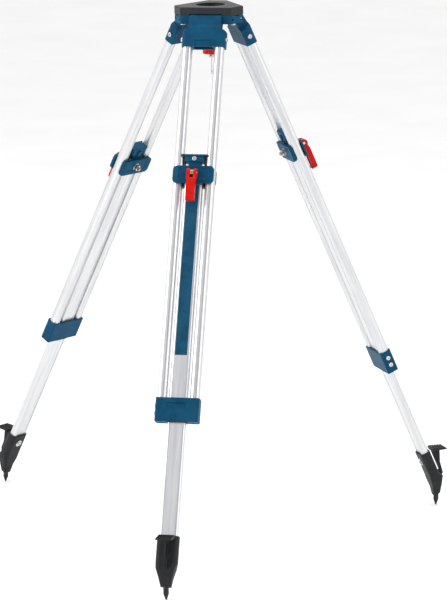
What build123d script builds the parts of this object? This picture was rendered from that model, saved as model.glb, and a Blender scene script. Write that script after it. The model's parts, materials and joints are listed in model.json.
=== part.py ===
from build123d import *
import math
import os

# Light aluminium survey tripod with a flat head, three cam-clamped telescopic legs and pedal feet.
# Millimetres. The origin is the centre of the head's top face and +Z points up.
# Each leg is drawn in its own frame first: the origin is on the hinge axis, X runs along that axis,
# "out" is measured away from the tripod's centre and "down" along the leg.

# ---- stance -------------------------------------------------------------------------------------
TOP_HEIGHT = 1190.0          # ground to the head's top face, as it stands
LEG_AZIMUTH = {"front": 0.0, "right": 120.0, "left": -120.0}
LEG_SPREAD = {"front": 25.25, "right": 22.95, "left": 29.3}     # degrees from vertical

# ---- head ---------------------------------------------------------------------------------------
PLATE_SIDE = 57.1            # axis to the long sides, which face the legs
PLATE_CORNER = 77.6          # axis to the short sides between the legs
PLATE_THICK = 17.8
PLATE_CORNER_ROUND = 5.0
PLATE_TOP_ROUND = 2.5
PLATE_LOW_ROUND = 1.0
OPENING_R = 32.5
FRAME_INSET = 0.5            # frame outline inside the plate outline
FRAME_THICK = 19.2
FRAME_OPENING_R = OPENING_R + 1.5
FRAME_LOW_EDGE = 1.2
FRAME_REBATE = (14.0, 3.0, 2.6)      # width, depth and height of the rebate in each short side
HINGE_RADIUS = PLATE_SIDE - 5.6      # tripod axis to hinge axis
HINGE_DROP = PLATE_THICK + 9.7       # head top to hinge axis
HINGE_PIN_R = 3.0
HINGE_PIN_LENGTH = 108.0
HINGE_PIN_EDGE = 0.6
HINGE_RUNNING = 0.05         # radial clearance of the block on its pin
POCKET_SIDE_GAP = 0.6        # beside the hinge block
POCKET_BACK_GAP = 1.0        # behind and over the hinge barrel
CORNER_SCREW_RADIUS = PLATE_CORNER - 12.6    # tripod axis to the screws that hold the plate to the frame
CORNER_SCREW_R = 3.0
CORNER_SCREW_DEPTH = 9.0     # thread length inside the plate
CORNER_HEAD = (5.5, 4.0)     # radius and height
HEAD_SCREW_SOCKET = (5.0, 2.4)       # width across flats and depth

# ---- centre fixing screw ------------------------------------------------------------------------
ARM_PIVOT_RADIUS = PLATE_CORNER - 17.6
ARM_PIVOT_R = 4.0
ARM_PIVOT_HEAD = (7.0, 4.0)  # radius and height
ARM_THICK = 5.0
ARM_GAP = 0.3                # under the frame
ARM_EYE_R = 10.0
ARM_NECK = 20.0              # width
ARM_HEAD = 35.0              # width
ARM_REACH = 30.0             # head of the arm, either side of the tripod axis
ARM_TRAVEL = 13.0            # screw travel along the arm, either way
BUSH_R = 11.0
BUSH_FLANGE_R = 13.5
BUSH_FLANGE_THICK = 3.0
BUSH_GAP = 0.3
THREAD_R = 7.9375            # 5/8 inch
THREAD_TOP = 20.0            # head top down to the screw's end
THREAD_LENGTH = 13.0         # its foot stands clear of the bush's flange
THREAD_CHAMFER = 1.0
SHANK_R = THREAD_R - 0.5375
SHANK_RUNNING = 0.06
KNOB_R = 19.3
KNOB_TOP = 82.0              # below the head's top face
KNOB_HEIGHT = 27.0
KNOB_FLUTES = 14
KNOB_FLUTE_R = 2.2
KNOB_EDGES = (2.0, 1.2)      # rounding of the lower and the upper edge
KNOB_DISH = (14.0, 3.0)      # radius and depth of the hollow underneath
WASHER_R = 13.0
WASHER_THICK = 2.0
HOOK_PIVOT = 114.5           # below the head's top face
HOOK_WIRE_R = 1.3
HOOK_LENGTH = 36.0
HOOK_RING_R = 3.6
HOOK_PIN_R = 1.5
HOOK_EYE_R = 3.4
HOOK_EYE_WIDTH = 4.0
FORK_R = 6.0
FORK_LENGTH = 9.5
FORK_BELOW = 3.0             # fork's end below the pivot
FORK_PLAY = 0.8              # slot wider than the hook's eye
FORK_EDGE = 1.0

# ---- inner leg ----------------------------------------------------------------------------------
INNER_WIDTH = 41.0
INNER_DEPTH = 18.0
INNER_ROUND = 6.0
INNER_WALL = 1.8
INNER_RECESS = (28.0, 1.0)   # width and depth of the flat channel on both faces
LABEL_SIZE = (INNER_RECESS[0] - 1.4, 376.0, 0.35)     # width, length and thickness
LABEL_TOP = 41.0             # below the clamp's top

# ---- rails --------------------------------------------------------------------------------------
RAIL_WIDTH = 21.0
RAIL_DEPTH = 23.0
RAIL_ROUND = 9.0
RAIL_WALL = 1.7
RAIL_GROOVE = (4.5, 0.7)     # width and depth
RAIL_CLEAR = 4.55            # between a rail and the inner leg
RAIL_SPACING = INNER_WIDTH + RAIL_WIDTH + 2 * RAIL_CLEAR
RAILS_WIDE = RAIL_SPACING + RAIL_WIDTH       # over both rails
HOUSING_WALL = 1.9           # metal in front of and behind the rails
HOUSING_DEPTH = RAIL_DEPTH + 2 * HOUSING_WALL

# ---- hinge block --------------------------------------------------------------------------------
LEG_OUT = 3.4                # the leg's middle plane lies this far outward of the hinge axis
BARREL_R = 12.0
BLOCK_NARROW = RAIL_SPACING + 1.3    # width between the frame's lugs
BLOCK_WIDE = RAILS_WIDE + 4.2
BLOCK_SHOULDER = (23.3, 29.3)        # down to the top and foot of the shoulder
BLOCK_RAMP = (10.5, 15.0)    # out and down to where the outer face starts to slope out
BLOCK_DOWN = 65.9            # hinge axis to the block's lower face
BLOCK_OUTER_ROUND = 9.0
BLOCK_INNER_ROUND = 2.0
RAIL_ENTRY = 33.3            # hinge axis to the rails' upper ends
BLOCK_SCREW_DOWN = 47.3
BLOCK_RECESS = (37.0, 15.0, 1.8)     # width, height and depth on the outer face
BLOCK_CAVITY = (INNER_WIDTH + 1.0, HOUSING_DEPTH - 8.8, 30.0)    # width, depth, height between the rails

# ---- end bracket --------------------------------------------------------------------------------
BRACKET_TOP = 848.0          # hinge axis to the bracket's upper face
BRACKET_HEIGHT = 52.1
BRACKET_WIDE = RAILS_WIDE + 3.4
BRACKET_OUTER_ROUND = 5.5
BRACKET_INNER_ROUND = 2.5
BRACKET_LOW_EDGE = 1.0
BRACKET_FLOOR = 7.0          # closed under the rails
BRACKET_RECESS = (40.0, 11.0, 1.7)   # width, height and depth on the outer face
BRACKET_RAMP = 4.0           # sloping side of that recess
BRACKET_SCREWS = (16.0, 33.0)        # below the bracket's upper face
DRAIN_R = 3.2
LINER_WALL = 1.5
LINER_LIP = (1.5, 1.2)       # width and height
SLIDE_GAP = 0.3

# ---- clamp, measured from the clamp plates' upper edge ------------------------------------------
CLAMP_HEIGHT = 38.2
CLAMP_WIDE = RAILS_WIDE - 1.7
CLAMP_THICK = 6.5
CLAMP_CORNER = 8.5
CLAMP_SLOPE = (12.0, 2.6)    # sloping ends of the plate: width and fall
CLAMP_GAP = 0.4              # between a plate and the rails
CLAMP_BOSS = (INNER_WIDTH + 3.0, 30.0)       # width and height of the pad that bears on the inner leg
CLAMP_BOSS_DOWN = 4.0
CLAMP_CHANNEL = (62.0, 21.0, 1.1)    # width, height and depth of the pressed channel
CLAMP_CHANNEL_DOWN = 16.5    # its middle
CLAMP_CHANNEL_SIDE = 2.0     # width of the channel's sloping sides
BOLT_DOWN = 18.0             # bolt axis
BOLT_R = 4.0
BOLT_BEYOND = 13.1           # bolt's inward end beyond the plate's face
BOLT_CHAMFER = 1.0
BOLT_EYE_R = 6.8
BOLT_EYE_WIDTH = 7.0
NUT_ACROSS = 13.0
NUT_THICK = 6.5
NUT_WASHER = (8.5, 1.5)      # radius and thickness
CAM_R = 9.0
CAM_GAP = 0.3
LEVER_WIDTH = 22.0           # over the two cam lobes
LEVER_BLADE = 19.6           # width of the blade below the lobes
LEVER_SLOT = 8.0
LEVER_LENGTH = 63.0          # pivot to the free end
LEVER_FOLD = 11.5            # pivot to the bend
LEVER_THICK = 11.8           # depth of the blade's side walls
LEVER_WALL = 2.6
LEVER_STAND = 7.0            # blade off the clamp plate
LEVER_LIP = 2.4              # hooked end
LEVER_PIN_R = 3.0
LEVER_PIN_PROUD = 0.6
LEVER_RUNNING = 0.05

# ---- guide cap and slide pads -------------------------------------------------------------------
CAP_TOP = 27.0               # above the clamp's top
CAP_BODY = (INNER_WIDTH + 2.0, INNER_DEPTH + 6.0, 16.0)      # width, depth and height
CAP_ROUND = 3.0
CAP_FLANGE = (RAIL_SPACING - RAIL_WIDTH - 0.9, 3.0)  # width and height
CAP_WING = (59.0, 1.8, 4.0)  # width, thickness and height
CAP_WING_GAP = 0.4
CAP_WING_CHAMFER = 1.2
CAP_NECK = 27.0
CAP_PLUG_DOWN = 32.0
CAP_SCREW_UP = 17.0
CAP_SCREW_LENGTH = 12.0
CAP_BOSS = (6.5, 3.0)        # radius and height of the boss on the inward face
CAP_BOSS_UP = 15.0
CAP_BUMPS = 5                # low humps along the upper edge
CAP_BUMP_HEIGHT = 0.8
INNER_TOP = 2.0              # inner leg's upper end, below the clamp's top
PAD_GAP = 0.4                # between a pad and the rail
UPPER_PAD = (22.0, 21.0)     # above the clamp's top: start and height
LOWER_PAD = (22.0, 24.0)     # below the clamp's top: start and height
PAD_DEPTH = 14.0

# ---- foot, measured from the upper edge of its socket -------------------------------------------
FOOT_DOWN = 808.5            # clamp's top to the socket's upper edge
FOOT_WIDTH = INNER_WIDTH + 6.8
FOOT_DEPTH = INNER_DEPTH + 7.0
FOOT_ROUND = 10.0
SOCKET_DEPTH = 52.0
FOOT_TAPER_TOP = 58.0
# down, share of the socket's width, inner face and outer face of the sections below the socket
FOOT_SECTIONS = [
    (70.0, 0.89, -13.2, 18.5),
    (88.0, 0.66, -14.2, 10.5),
    (107.0, 0.48, -18.0, -0.5),
]
FOOT_LOW_ROUND = 7.0
PEDAL_SLOT = 7.5             # open gap between the socket and the pedal's post
PEDAL_POST = (10.0, 4.6)     # width and thickness
PEDAL_STEP = (35.0, 4.6)     # width and thickness
PEDAL_OUT = 52.0             # reach from the leg's middle plane
PEDAL_DROP = 14.0            # step's outer edge below its inner edge
PEDAL_TEETH = 5
PEDAL_TOOTH = (3.4, 2.1)     # width and height
PEDAL_TOOTH_INSET = 1.5      # teeth inside the step's side edges
PEDAL_RIB = 4.6
PEDAL_RIB_OUT = 40.0         # reach of the rib under the step
PEDAL_GUSSET = (16.0, 18.0)  # reach and height of the thick root under the step
FOOT_SCREW_DOWN = 21.0
SPIKE_R = 6.0
SPIKE_TILT = 25.0            # spike axis from the leg axis, degrees
SPIKE_INSET = 20.0           # tip inward of the leg's middle plane
SPIKE_DOWN = 129.7           # socket's upper edge to the tip
SPIKE_LENGTH = 60.0
SPIKE_CONE = 11.0
SPIKE_TIP_R = 2.0

# ---- small screws -------------------------------------------------------------------------------
SCREW_R = 2.5
SCREW_HEAD = (5.0, 3.4)      # radius and height
SCREW_SOCKET_ACROSS = 4.0
SCREW_SOCKET_DEEP = 2.0
SCREW_EDGE = 1.2
RAIL_SCREW_LENGTH = 7.5
FOOT_WASHER = (8.6, 1.4)     # radius and thickness

PARTS = "parts"
TOP = Align.MAX
MID = Align.CENTER
LOW = Align.MIN


# ---- drawing helpers ----------------------------------------------------------------------------
def slab(width, out_range, down_range, x=0.0):
    """Box across the leg, from its out and down limits."""
    out_low, out_high = out_range
    down_top, down_low = down_range
    size = Box(width, out_high - out_low, down_low - down_top)
    return Pos(x, -(out_low + out_high) / 2, -(down_top + down_low) / 2) * size


def rod_across(radius, length, out, down, x=0.0):
    """Cylinder along X."""
    return Pos(x, -out, -down) * Rot(0, 90, 0) * Cylinder(radius, length)


def rod_outward(radius, out_range, down, x=0.0):
    """Cylinder along the leg's out direction."""
    out_low, out_high = out_range
    rod = Cylinder(radius, out_high - out_low)
    return Pos(x, -(out_low + out_high) / 2, -down) * Rot(90, 0, 0) * rod


def rod_down(radius, down_range, x=0.0, out=0.0):
    """Cylinder along the leg."""
    down_top, down_low = down_range
    return Pos(x, -out, -down_low) * Cylinder(radius, down_low - down_top, align=(MID, MID, LOW))


def along(sketch, down_range, x=0.0, out=0.0):
    """Section extruded along the leg."""
    down_top, down_low = down_range
    return Pos(x, -out, -down_low) * extrude(sketch, amount=down_low - down_top)


def side_profile(points, width, x=0.0):
    """Closed outline given as (out, down), extruded evenly across the leg."""
    outline = Polyline([(0, -out, -down) for out, down in points], close=True)
    return Pos(x, 0, 0) * extrude(make_face(outline), amount=width / 2, both=True, dir=(1, 0, 0))


def upright_edges(shape):
    return shape.edges().filter_by(Axis.Z)


def pan_screw(length):
    """Socket pan-head screw along +Z: the shank starts at the origin and the head sits below it."""
    head_r, head_height = SCREW_HEAD
    head = Pos(0, 0, -head_height) * Cylinder(head_r, head_height, align=(MID, MID, LOW))
    head = fillet(head.edges().group_by(Axis.Z)[0], SCREW_EDGE)
    socket = extrude(RegularPolygon(SCREW_SOCKET_ACROSS / 2, 6, major_radius=False), SCREW_SOCKET_DEEP)
    head -= Pos(0, 0, -head_height) * socket
    return head + Cylinder(SCREW_R, length, align=(MID, MID, LOW))


def one(shape):
    """The only solid of a finished piece."""
    solids = shape.solids()
    if len(solids) != 1:
        raise ValueError("a piece came out as %d solids" % len(solids))
    return solids[0]


def on_leg(leg):
    """Leg frame to the tripod's frame."""
    hinge = Pos(0, -HINGE_RADIUS, -HINGE_DROP)
    return Rot(0, 0, LEG_AZIMUTH[leg]) * hinge * Rot(-LEG_SPREAD[leg], 0, 0) * Pos(0, -LEG_OUT, 0)


def clamp_down(leg):
    """Hinge axis to the clamp's upper edge, so that the spike's tip stands on the ground."""
    spread = math.radians(LEG_SPREAD[leg])
    drop = TOP_HEIGHT - HINGE_DROP - SPIKE_TIP_R
    tip_down = (drop - (SPIKE_INSET - LEG_OUT) * math.sin(spread)) / math.cos(spread)
    return tip_down - FOOT_DOWN - SPIKE_DOWN


# ---- head pieces --------------------------------------------------------------------------------
def corner_direction(index):
    """Unit vector from the axis to one of the three short sides: front right, rear, front left."""
    angle = math.radians(-30.0 + 120.0 * index)
    return math.cos(angle), math.sin(angle)


def head_outline(side, corner):
    """Triangle with cut corners: long sides face the legs."""
    half = (corner - side * math.cos(math.pi / 3)) / math.sin(math.pi / 3)
    points = []
    for azimuth in (0.0, 120.0, 240.0):
        turn = math.radians(azimuth)
        for x in (-half, half):
            points.append((x * math.cos(turn) + side * math.sin(turn),
                           x * math.sin(turn) - side * math.cos(turn)))
    return Polygon(*points, align=None)


def hinge_pocket(height, drop):
    """Room for one hinge barrel, open outward, for the three legs."""
    width = BLOCK_NARROW + 2 * POCKET_SIDE_GAP
    back = HINGE_RADIUS - BARREL_R - POCKET_BACK_GAP
    box = Box(width, PLATE_CORNER, height, align=(MID, TOP, TOP))
    return [Rot(0, 0, azimuth) * Pos(0, -back, -drop) * box for azimuth in LEG_AZIMUTH.values()]


def plate_screw_places():
    """The two front corners: the arm's pivot bolt holds the rear one."""
    places = []
    for index in (0, 2):
        x, y = corner_direction(index)
        places.append(Pos(x * CORNER_SCREW_RADIUS, y * CORNER_SCREW_RADIUS, -PLATE_THICK))
    return places


def head_plate():
    plate = extrude(head_outline(PLATE_SIDE, PLATE_CORNER), amount=-PLATE_THICK)
    plate = fillet(upright_edges(plate), PLATE_CORNER_ROUND)
    plate = fillet(plate.edges().group_by(Axis.Z)[-1], PLATE_TOP_ROUND)
    plate = fillet(plate.edges().group_by(Axis.Z)[0], PLATE_LOW_ROUND)
    plate -= Cylinder(OPENING_R, 3 * PLATE_THICK)
    barrel_top = HINGE_DROP - BARREL_R - POCKET_BACK_GAP
    plate -= hinge_pocket(PLATE_THICK, barrel_top)
    for place in plate_screw_places():
        plate -= place * Cylinder(CORNER_SCREW_R, CORNER_SCREW_DEPTH, align=(MID, MID, LOW))
    plate -= Pos(0, ARM_PIVOT_RADIUS, -PLATE_THICK) * Cylinder(
        ARM_PIVOT_R, CORNER_SCREW_DEPTH, align=(MID, MID, LOW))
    return one(plate)


def head_frame():
    outline = head_outline(PLATE_SIDE - FRAME_INSET, PLATE_CORNER - FRAME_INSET)
    frame = Pos(0, 0, -PLATE_THICK) * extrude(outline, amount=-FRAME_THICK)
    frame = fillet(upright_edges(frame), PLATE_CORNER_ROUND)
    frame = chamfer(frame.edges().group_by(Axis.Z)[0], FRAME_LOW_EDGE)
    frame -= Cylinder(FRAME_OPENING_R, 4 * (PLATE_THICK + FRAME_THICK))
    frame -= hinge_pocket(PLATE_THICK + FRAME_THICK, 0)
    width, depth, height = FRAME_REBATE
    for index in range(3):
        rebate = Box(2 * depth, width, height, align=(MID, MID, TOP))
        face = PLATE_CORNER - FRAME_INSET
        frame -= Rot(0, 0, -30 + 120 * index) * Pos(face, 0, -PLATE_THICK) * rebate
    for azimuth in LEG_AZIMUTH.values():
        frame -= Rot(0, 0, azimuth) * hinge_axis_rod(HINGE_PIN_R, 2 * PLATE_CORNER)
    for place in plate_screw_places():
        frame -= place * Cylinder(CORNER_SCREW_R, 3 * FRAME_THICK)
    frame -= Pos(0, ARM_PIVOT_RADIUS, -PLATE_THICK) * Cylinder(ARM_PIVOT_R, 3 * FRAME_THICK)
    return one(frame)


def hinge_axis_rod(radius, length):
    return Pos(0, -HINGE_RADIUS, -HINGE_DROP) * Rot(0, 90, 0) * Cylinder(radius, length)


def hinge_pins():
    pin = hinge_axis_rod(HINGE_PIN_R, HINGE_PIN_LENGTH)
    pin = chamfer(pin.edges(), HINGE_PIN_EDGE)
    return [one(Rot(0, 0, azimuth) * pin) for azimuth in LEG_AZIMUTH.values()]


def head_screw(radius, head, down, up):
    """Screw standing up through the frame: its head is below the frame."""
    head_r, head_height = head
    shank = Pos(0, 0, -down) * Cylinder(radius, down + up, align=(MID, MID, LOW))
    cap = Pos(0, 0, -down) * Cylinder(head_r, head_height, align=(MID, MID, TOP))
    cap = fillet(cap.edges().group_by(Axis.Z)[0], SCREW_EDGE)
    across, deep = HEAD_SCREW_SOCKET
    socket = extrude(RegularPolygon(across / 2, 6, major_radius=False), deep)
    return shank + cap - Pos(0, 0, -down - head_height) * socket


def corner_screws():
    screw = head_screw(CORNER_SCREW_R, CORNER_HEAD, FRAME_THICK, CORNER_SCREW_DEPTH)
    return [one(place * screw) for place in plate_screw_places()]


# ---- centre fixing screw pieces -----------------------------------------------------------------
ARM_TOP = PLATE_THICK + FRAME_THICK + ARM_GAP


def arm_pivot():
    """Shoulder bolt that the arm swings on."""
    down = FRAME_THICK + ARM_GAP + ARM_THICK + ARM_GAP
    bolt = head_screw(ARM_PIVOT_R, ARM_PIVOT_HEAD, down, CORNER_SCREW_DEPTH)
    return one(Pos(0, ARM_PIVOT_RADIUS, -PLATE_THICK) * bolt)


def screw_arm():
    neck_start = ARM_REACH + 6
    outline = make_hull([
        *Rectangle(ARM_HEAD, 2 * ARM_REACH).edges(),
        *(Pos(0, neck_start) * Rectangle(ARM_NECK, 2)).edges(),
    ])
    outline += Pos(0, (neck_start + ARM_PIVOT_RADIUS) / 2) * Rectangle(
        ARM_NECK, ARM_PIVOT_RADIUS - neck_start)
    outline += Pos(0, ARM_PIVOT_RADIUS) * Circle(ARM_EYE_R)
    slot_r = BUSH_R + BUSH_GAP
    outline -= SlotCenterToCenter(2 * ARM_TRAVEL, 2 * slot_r, rotation=90)
    outline -= Pos(0, ARM_PIVOT_RADIUS) * Circle(ARM_PIVOT_R + HINGE_RUNNING)
    return one(Pos(0, 0, -ARM_TOP) * extrude(outline, amount=-ARM_THICK))


def slider_bush():
    low = ARM_TOP + ARM_THICK + ARM_GAP
    body = rod_down(BUSH_R, (ARM_TOP - ARM_GAP, low))
    flange = rod_down(BUSH_FLANGE_R, (ARM_TOP - ARM_GAP - BUSH_FLANGE_THICK, ARM_TOP - ARM_GAP))
    flange = chamfer(flange.edges().group_by(Axis.Z)[-1], 0.6)
    return one(body + flange - rod_down(THREAD_R + SHANK_RUNNING, (0, 2 * low)))


def thrust_washer():
    washer = rod_down(WASHER_R, (KNOB_TOP - WASHER_THICK, KNOB_TOP))
    return one(washer - rod_down(SHANK_R + SHANK_RUNNING, (0, 2 * KNOB_TOP)))


def fixing_screw():
    thread_low = THREAD_TOP + THREAD_LENGTH
    thread = rod_down(THREAD_R, (THREAD_TOP, thread_low))
    thread = chamfer(thread.edges().group_by(Axis.Z)[-1], THREAD_CHAMFER)
    fork_low = HOOK_PIVOT + FORK_BELOW
    fork_top = KNOB_TOP + KNOB_HEIGHT - KNOB_DISH[1]
    shank = rod_down(SHANK_R, (thread_low, fork_top))
    fork = rod_down(FORK_R, (fork_top, fork_low))
    fork = chamfer(fork.edges().group_by(Axis.Z)[0], FORK_EDGE)
    screw = thread + shank + fork
    screw -= slab(HOOK_EYE_WIDTH + FORK_PLAY, (-FORK_R, FORK_R), (fork_low - FORK_LENGTH, fork_low + 1))
    screw -= rod_across(HOOK_PIN_R + 0.06, 4 * FORK_R, 0, HOOK_PIVOT)
    return one(screw)


def knob():
    grip = rod_down(KNOB_R, (KNOB_TOP, KNOB_TOP + KNOB_HEIGHT))
    flute = rod_down(KNOB_FLUTE_R, (KNOB_TOP - 1, KNOB_TOP + KNOB_HEIGHT + 1), x=KNOB_R + 0.8)
    low_round, top_round = KNOB_EDGES
    grip = fillet(grip.edges().group_by(Axis.Z)[0], low_round)
    grip = fillet(grip.edges().group_by(Axis.Z)[-1], top_round)
    dish_r, dish_depth = KNOB_DISH
    knob_low = KNOB_TOP + KNOB_HEIGHT
    grip -= rod_down(dish_r, (knob_low - dish_depth, knob_low + 1))
    grip -= [Rot(0, 0, 360.0 * i / KNOB_FLUTES) * flute for i in range(KNOB_FLUTES)]
    return one(grip - rod_down(SHANK_R, (0, 2 * HOOK_PIVOT)))


def plumb_hook():
    eye = rod_across(HOOK_EYE_R, HOOK_EYE_WIDTH, 0, HOOK_PIVOT)
    pin = rod_across(HOOK_PIN_R, 2 * FORK_R - 1.0, 0, HOOK_PIVOT)
    ring_down = HOOK_PIVOT + HOOK_LENGTH
    wire = rod_down(HOOK_WIRE_R, (HOOK_PIVOT + 1, ring_down - HOOK_RING_R))
    ring = Pos(0, 0, -ring_down) * Rot(0, 90, 0) * Torus(HOOK_RING_R, HOOK_WIRE_R)
    return one(eye + pin + wire + ring)


# ---- upper leg pieces ---------------------------------------------------------------------------
def rail_section(grow=0.0):
    section = RectangleRounded(RAIL_WIDTH + 2 * grow, RAIL_DEPTH + 2 * grow, RAIL_ROUND + grow)
    width, depth = RAIL_GROOVE
    if grow == 0.0:
        for side in (-1, 1):
            section -= Pos(0, side * RAIL_DEPTH / 2) * Rectangle(width, 2 * depth)
    return section


RAIL_SIDES = (-RAIL_SPACING / 2, RAIL_SPACING / 2)
RAIL_LOW = BRACKET_TOP + BRACKET_HEIGHT - BRACKET_FLOOR


def rail_screw_places():
    """Heads on both side faces of the block, and on the left side face of the bracket."""
    places = []
    rows = [(BLOCK_SCREW_DOWN, BLOCK_WIDE / 2)]
    rows += [(BRACKET_TOP + down, BRACKET_WIDE / 2) for down in BRACKET_SCREWS]
    for down, face in rows:
        places.append(Pos(-face, 0, -down) * Rot(0, 90, 0))
    places.append(Pos(BLOCK_WIDE / 2, 0, -BLOCK_SCREW_DOWN) * Rot(0, -90, 0))
    return places


def rail_screw_holes():
    return [place * Cylinder(SCREW_R, 2 * 8.0) for place in rail_screw_places()]


def block_profile():
    """Side outline of the hinge block's middle: a barrel round the hinge axis, blended into the body."""
    barrel = Pos(-LEG_OUT, 0) * Circle(BARREL_R)
    half = HOUSING_DEPTH / 2
    shoulder_top, shoulder_low = BLOCK_SHOULDER
    ramp_out, ramp_down = BLOCK_RAMP
    foot_of_neck = Pos((ramp_out - half) / 2, -ramp_down) * Rectangle(ramp_out + half, 1.0)
    neck = make_hull([*barrel.edges(), *foot_of_neck.edges()])
    ramp = Polygon(
        (-half, -ramp_down), (ramp_out, -ramp_down), (half, -shoulder_top),
        (half, -shoulder_low), (-half, -shoulder_low), align=None)
    return neck + ramp


def hinge_block():
    shoulder_top, shoulder_low = BLOCK_SHOULDER
    half_narrow = BLOCK_NARROW / 2
    half_wide = BLOCK_WIDE / 2
    outline = Polyline([
        (half_narrow, -shoulder_top), (half_wide, -shoulder_low), (half_wide, -BLOCK_DOWN),
        (-half_wide, -BLOCK_DOWN), (-half_wide, -shoulder_low), (-half_narrow, -shoulder_top),
    ], close=True)
    body = extrude(Plane.XZ * make_face(outline), amount=HOUSING_DEPTH / 2, both=True)
    long_edges = body.edges().filter_by(Axis.Z)
    body = fillet(long_edges.group_by(Axis.Y)[0], BLOCK_OUTER_ROUND)
    body = fillet(body.edges().filter_by(Axis.Z).group_by(Axis.Y)[-1], BLOCK_INNER_ROUND)
    # the profile is drawn with out to the right, so it is turned to face outward along the leg
    middle = extrude(Plane.YZ * mirror(block_profile(), Plane.YZ), amount=BLOCK_NARROW / 2, both=True)
    body += middle
    for x in RAIL_SIDES:
        body -= along(rail_section(), (RAIL_ENTRY, BLOCK_DOWN + 1), x=x)
    width, depth, height = BLOCK_CAVITY
    body -= slab(width, (-depth / 2, depth / 2), (BLOCK_DOWN - height, BLOCK_DOWN + 1))
    width, height, depth = BLOCK_RECESS
    face_out = HOUSING_DEPTH / 2
    body -= slab(width, (face_out - depth, face_out + 1), (BLOCK_DOWN - height, BLOCK_DOWN + 1))
    body -= rod_across(HINGE_PIN_R + HINGE_RUNNING, 2 * BLOCK_NARROW, -LEG_OUT, 0)
    return one(body - rail_screw_holes())


def rails():
    hollow = RectangleRounded(RAIL_WIDTH - 2 * RAIL_WALL, RAIL_DEPTH - 2 * RAIL_WALL,
                              RAIL_ROUND - RAIL_WALL)
    section = rail_section() - hollow
    holes = rail_screw_holes()
    return [one(along(section, (RAIL_ENTRY, RAIL_LOW), x=x) - holes) for x in RAIL_SIDES]


def rail_screws():
    return [one(place * pan_screw(RAIL_SCREW_LENGTH)) for place in rail_screw_places()]


LINER_WIDTH = INNER_WIDTH + 2 * (SLIDE_GAP + LINER_WALL)
LINER_DEPTH = INNER_DEPTH + 2 * (SLIDE_GAP + LINER_WALL)
LINER_ROUND = INNER_ROUND + SLIDE_GAP + LINER_WALL


def bracket_section():
    """Outer corners are rounder than the inner ones. +Y is inward here."""
    section = Rectangle(BRACKET_WIDE, HOUSING_DEPTH)
    corners = section.vertices().group_by(Axis.Y)
    section = fillet(corners[0], BRACKET_OUTER_ROUND)
    return fillet(section.vertices().group_by(Axis.Y)[-1], BRACKET_INNER_ROUND)


def end_bracket():
    low = BRACKET_TOP + BRACKET_HEIGHT
    body = along(bracket_section(), (BRACKET_TOP, low))
    body = chamfer(body.edges().group_by(Axis.Z)[0], BRACKET_LOW_EDGE)
    for x in RAIL_SIDES:
        body -= along(rail_section(), (BRACKET_TOP - 1, RAIL_LOW), x=x)
        body -= rod_down(DRAIN_R, (BRACKET_TOP, low + 1), x=x)
    liner = RectangleRounded(LINER_WIDTH, LINER_DEPTH, LINER_ROUND)
    body -= along(liner, (BRACKET_TOP - 1, low + 1))
    width, height, depth = BRACKET_RECESS
    face_out = HOUSING_DEPTH / 2
    half = width / 2
    recess = Polygon(
        (-half, -face_out + depth), (half, -face_out + depth), (half + BRACKET_RAMP, -face_out - 0.01),
        (-half - BRACKET_RAMP, -face_out - 0.01), align=None)
    body -= along(recess, (BRACKET_TOP - 1, BRACKET_TOP + height))
    return one(body - rail_screw_holes())


def slide_liner():
    low = BRACKET_TOP + BRACKET_HEIGHT
    outer = RectangleRounded(LINER_WIDTH, LINER_DEPTH, LINER_ROUND)
    lip_width, lip_height = LINER_LIP
    lip = RectangleRounded(LINER_WIDTH + 2 * lip_width, LINER_DEPTH + 2 * lip_width, LINER_ROUND + lip_width)
    bore = RectangleRounded(INNER_WIDTH + 2 * SLIDE_GAP, INNER_DEPTH + 2 * SLIDE_GAP,
                            INNER_ROUND + SLIDE_GAP)
    liner = along(outer, (BRACKET_TOP, low)) + along(lip, (low, low + lip_height))
    return one(liner - along(bore, (BRACKET_TOP - 1, low + 2 * lip_height)))


# ---- lower leg pieces, drawn with the clamp's upper edge at down = 0 ----------------------------
FOOT_LOW = FOOT_DOWN + SOCKET_DEPTH
PLATE_IN = RAIL_DEPTH / 2 + CLAMP_GAP
PLATE_OUT = PLATE_IN + CLAMP_THICK
LEVER_OUT = PLATE_OUT + CAM_GAP + CAM_R
BOLT_END = PLATE_OUT + BOLT_BEYOND


def inner_section():
    section = RectangleRounded(INNER_WIDTH, INNER_DEPTH, INNER_ROUND)
    width, depth = INNER_RECESS
    for side in (-1, 1):
        section -= Pos(0, side * INNER_DEPTH / 2) * Rectangle(width, 2 * depth)
    return section


def inner_hollow():
    width, depth = INNER_RECESS
    wall = INNER_WALL + depth
    return RectangleRounded(INNER_WIDTH - 2 * INNER_WALL, INNER_DEPTH - 2 * wall, INNER_ROUND - INNER_WALL - 0.2)


def inner_leg():
    tube = along(inner_section() - inner_hollow(), (INNER_TOP, FOOT_LOW))
    tube -= rod_outward(BOLT_R, (-INNER_DEPTH, INNER_DEPTH), BOLT_DOWN)
    tube -= rod_outward(SCREW_R, (-INNER_DEPTH, 0), FOOT_DOWN + FOOT_SCREW_DOWN)
    return one(tube)


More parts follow.
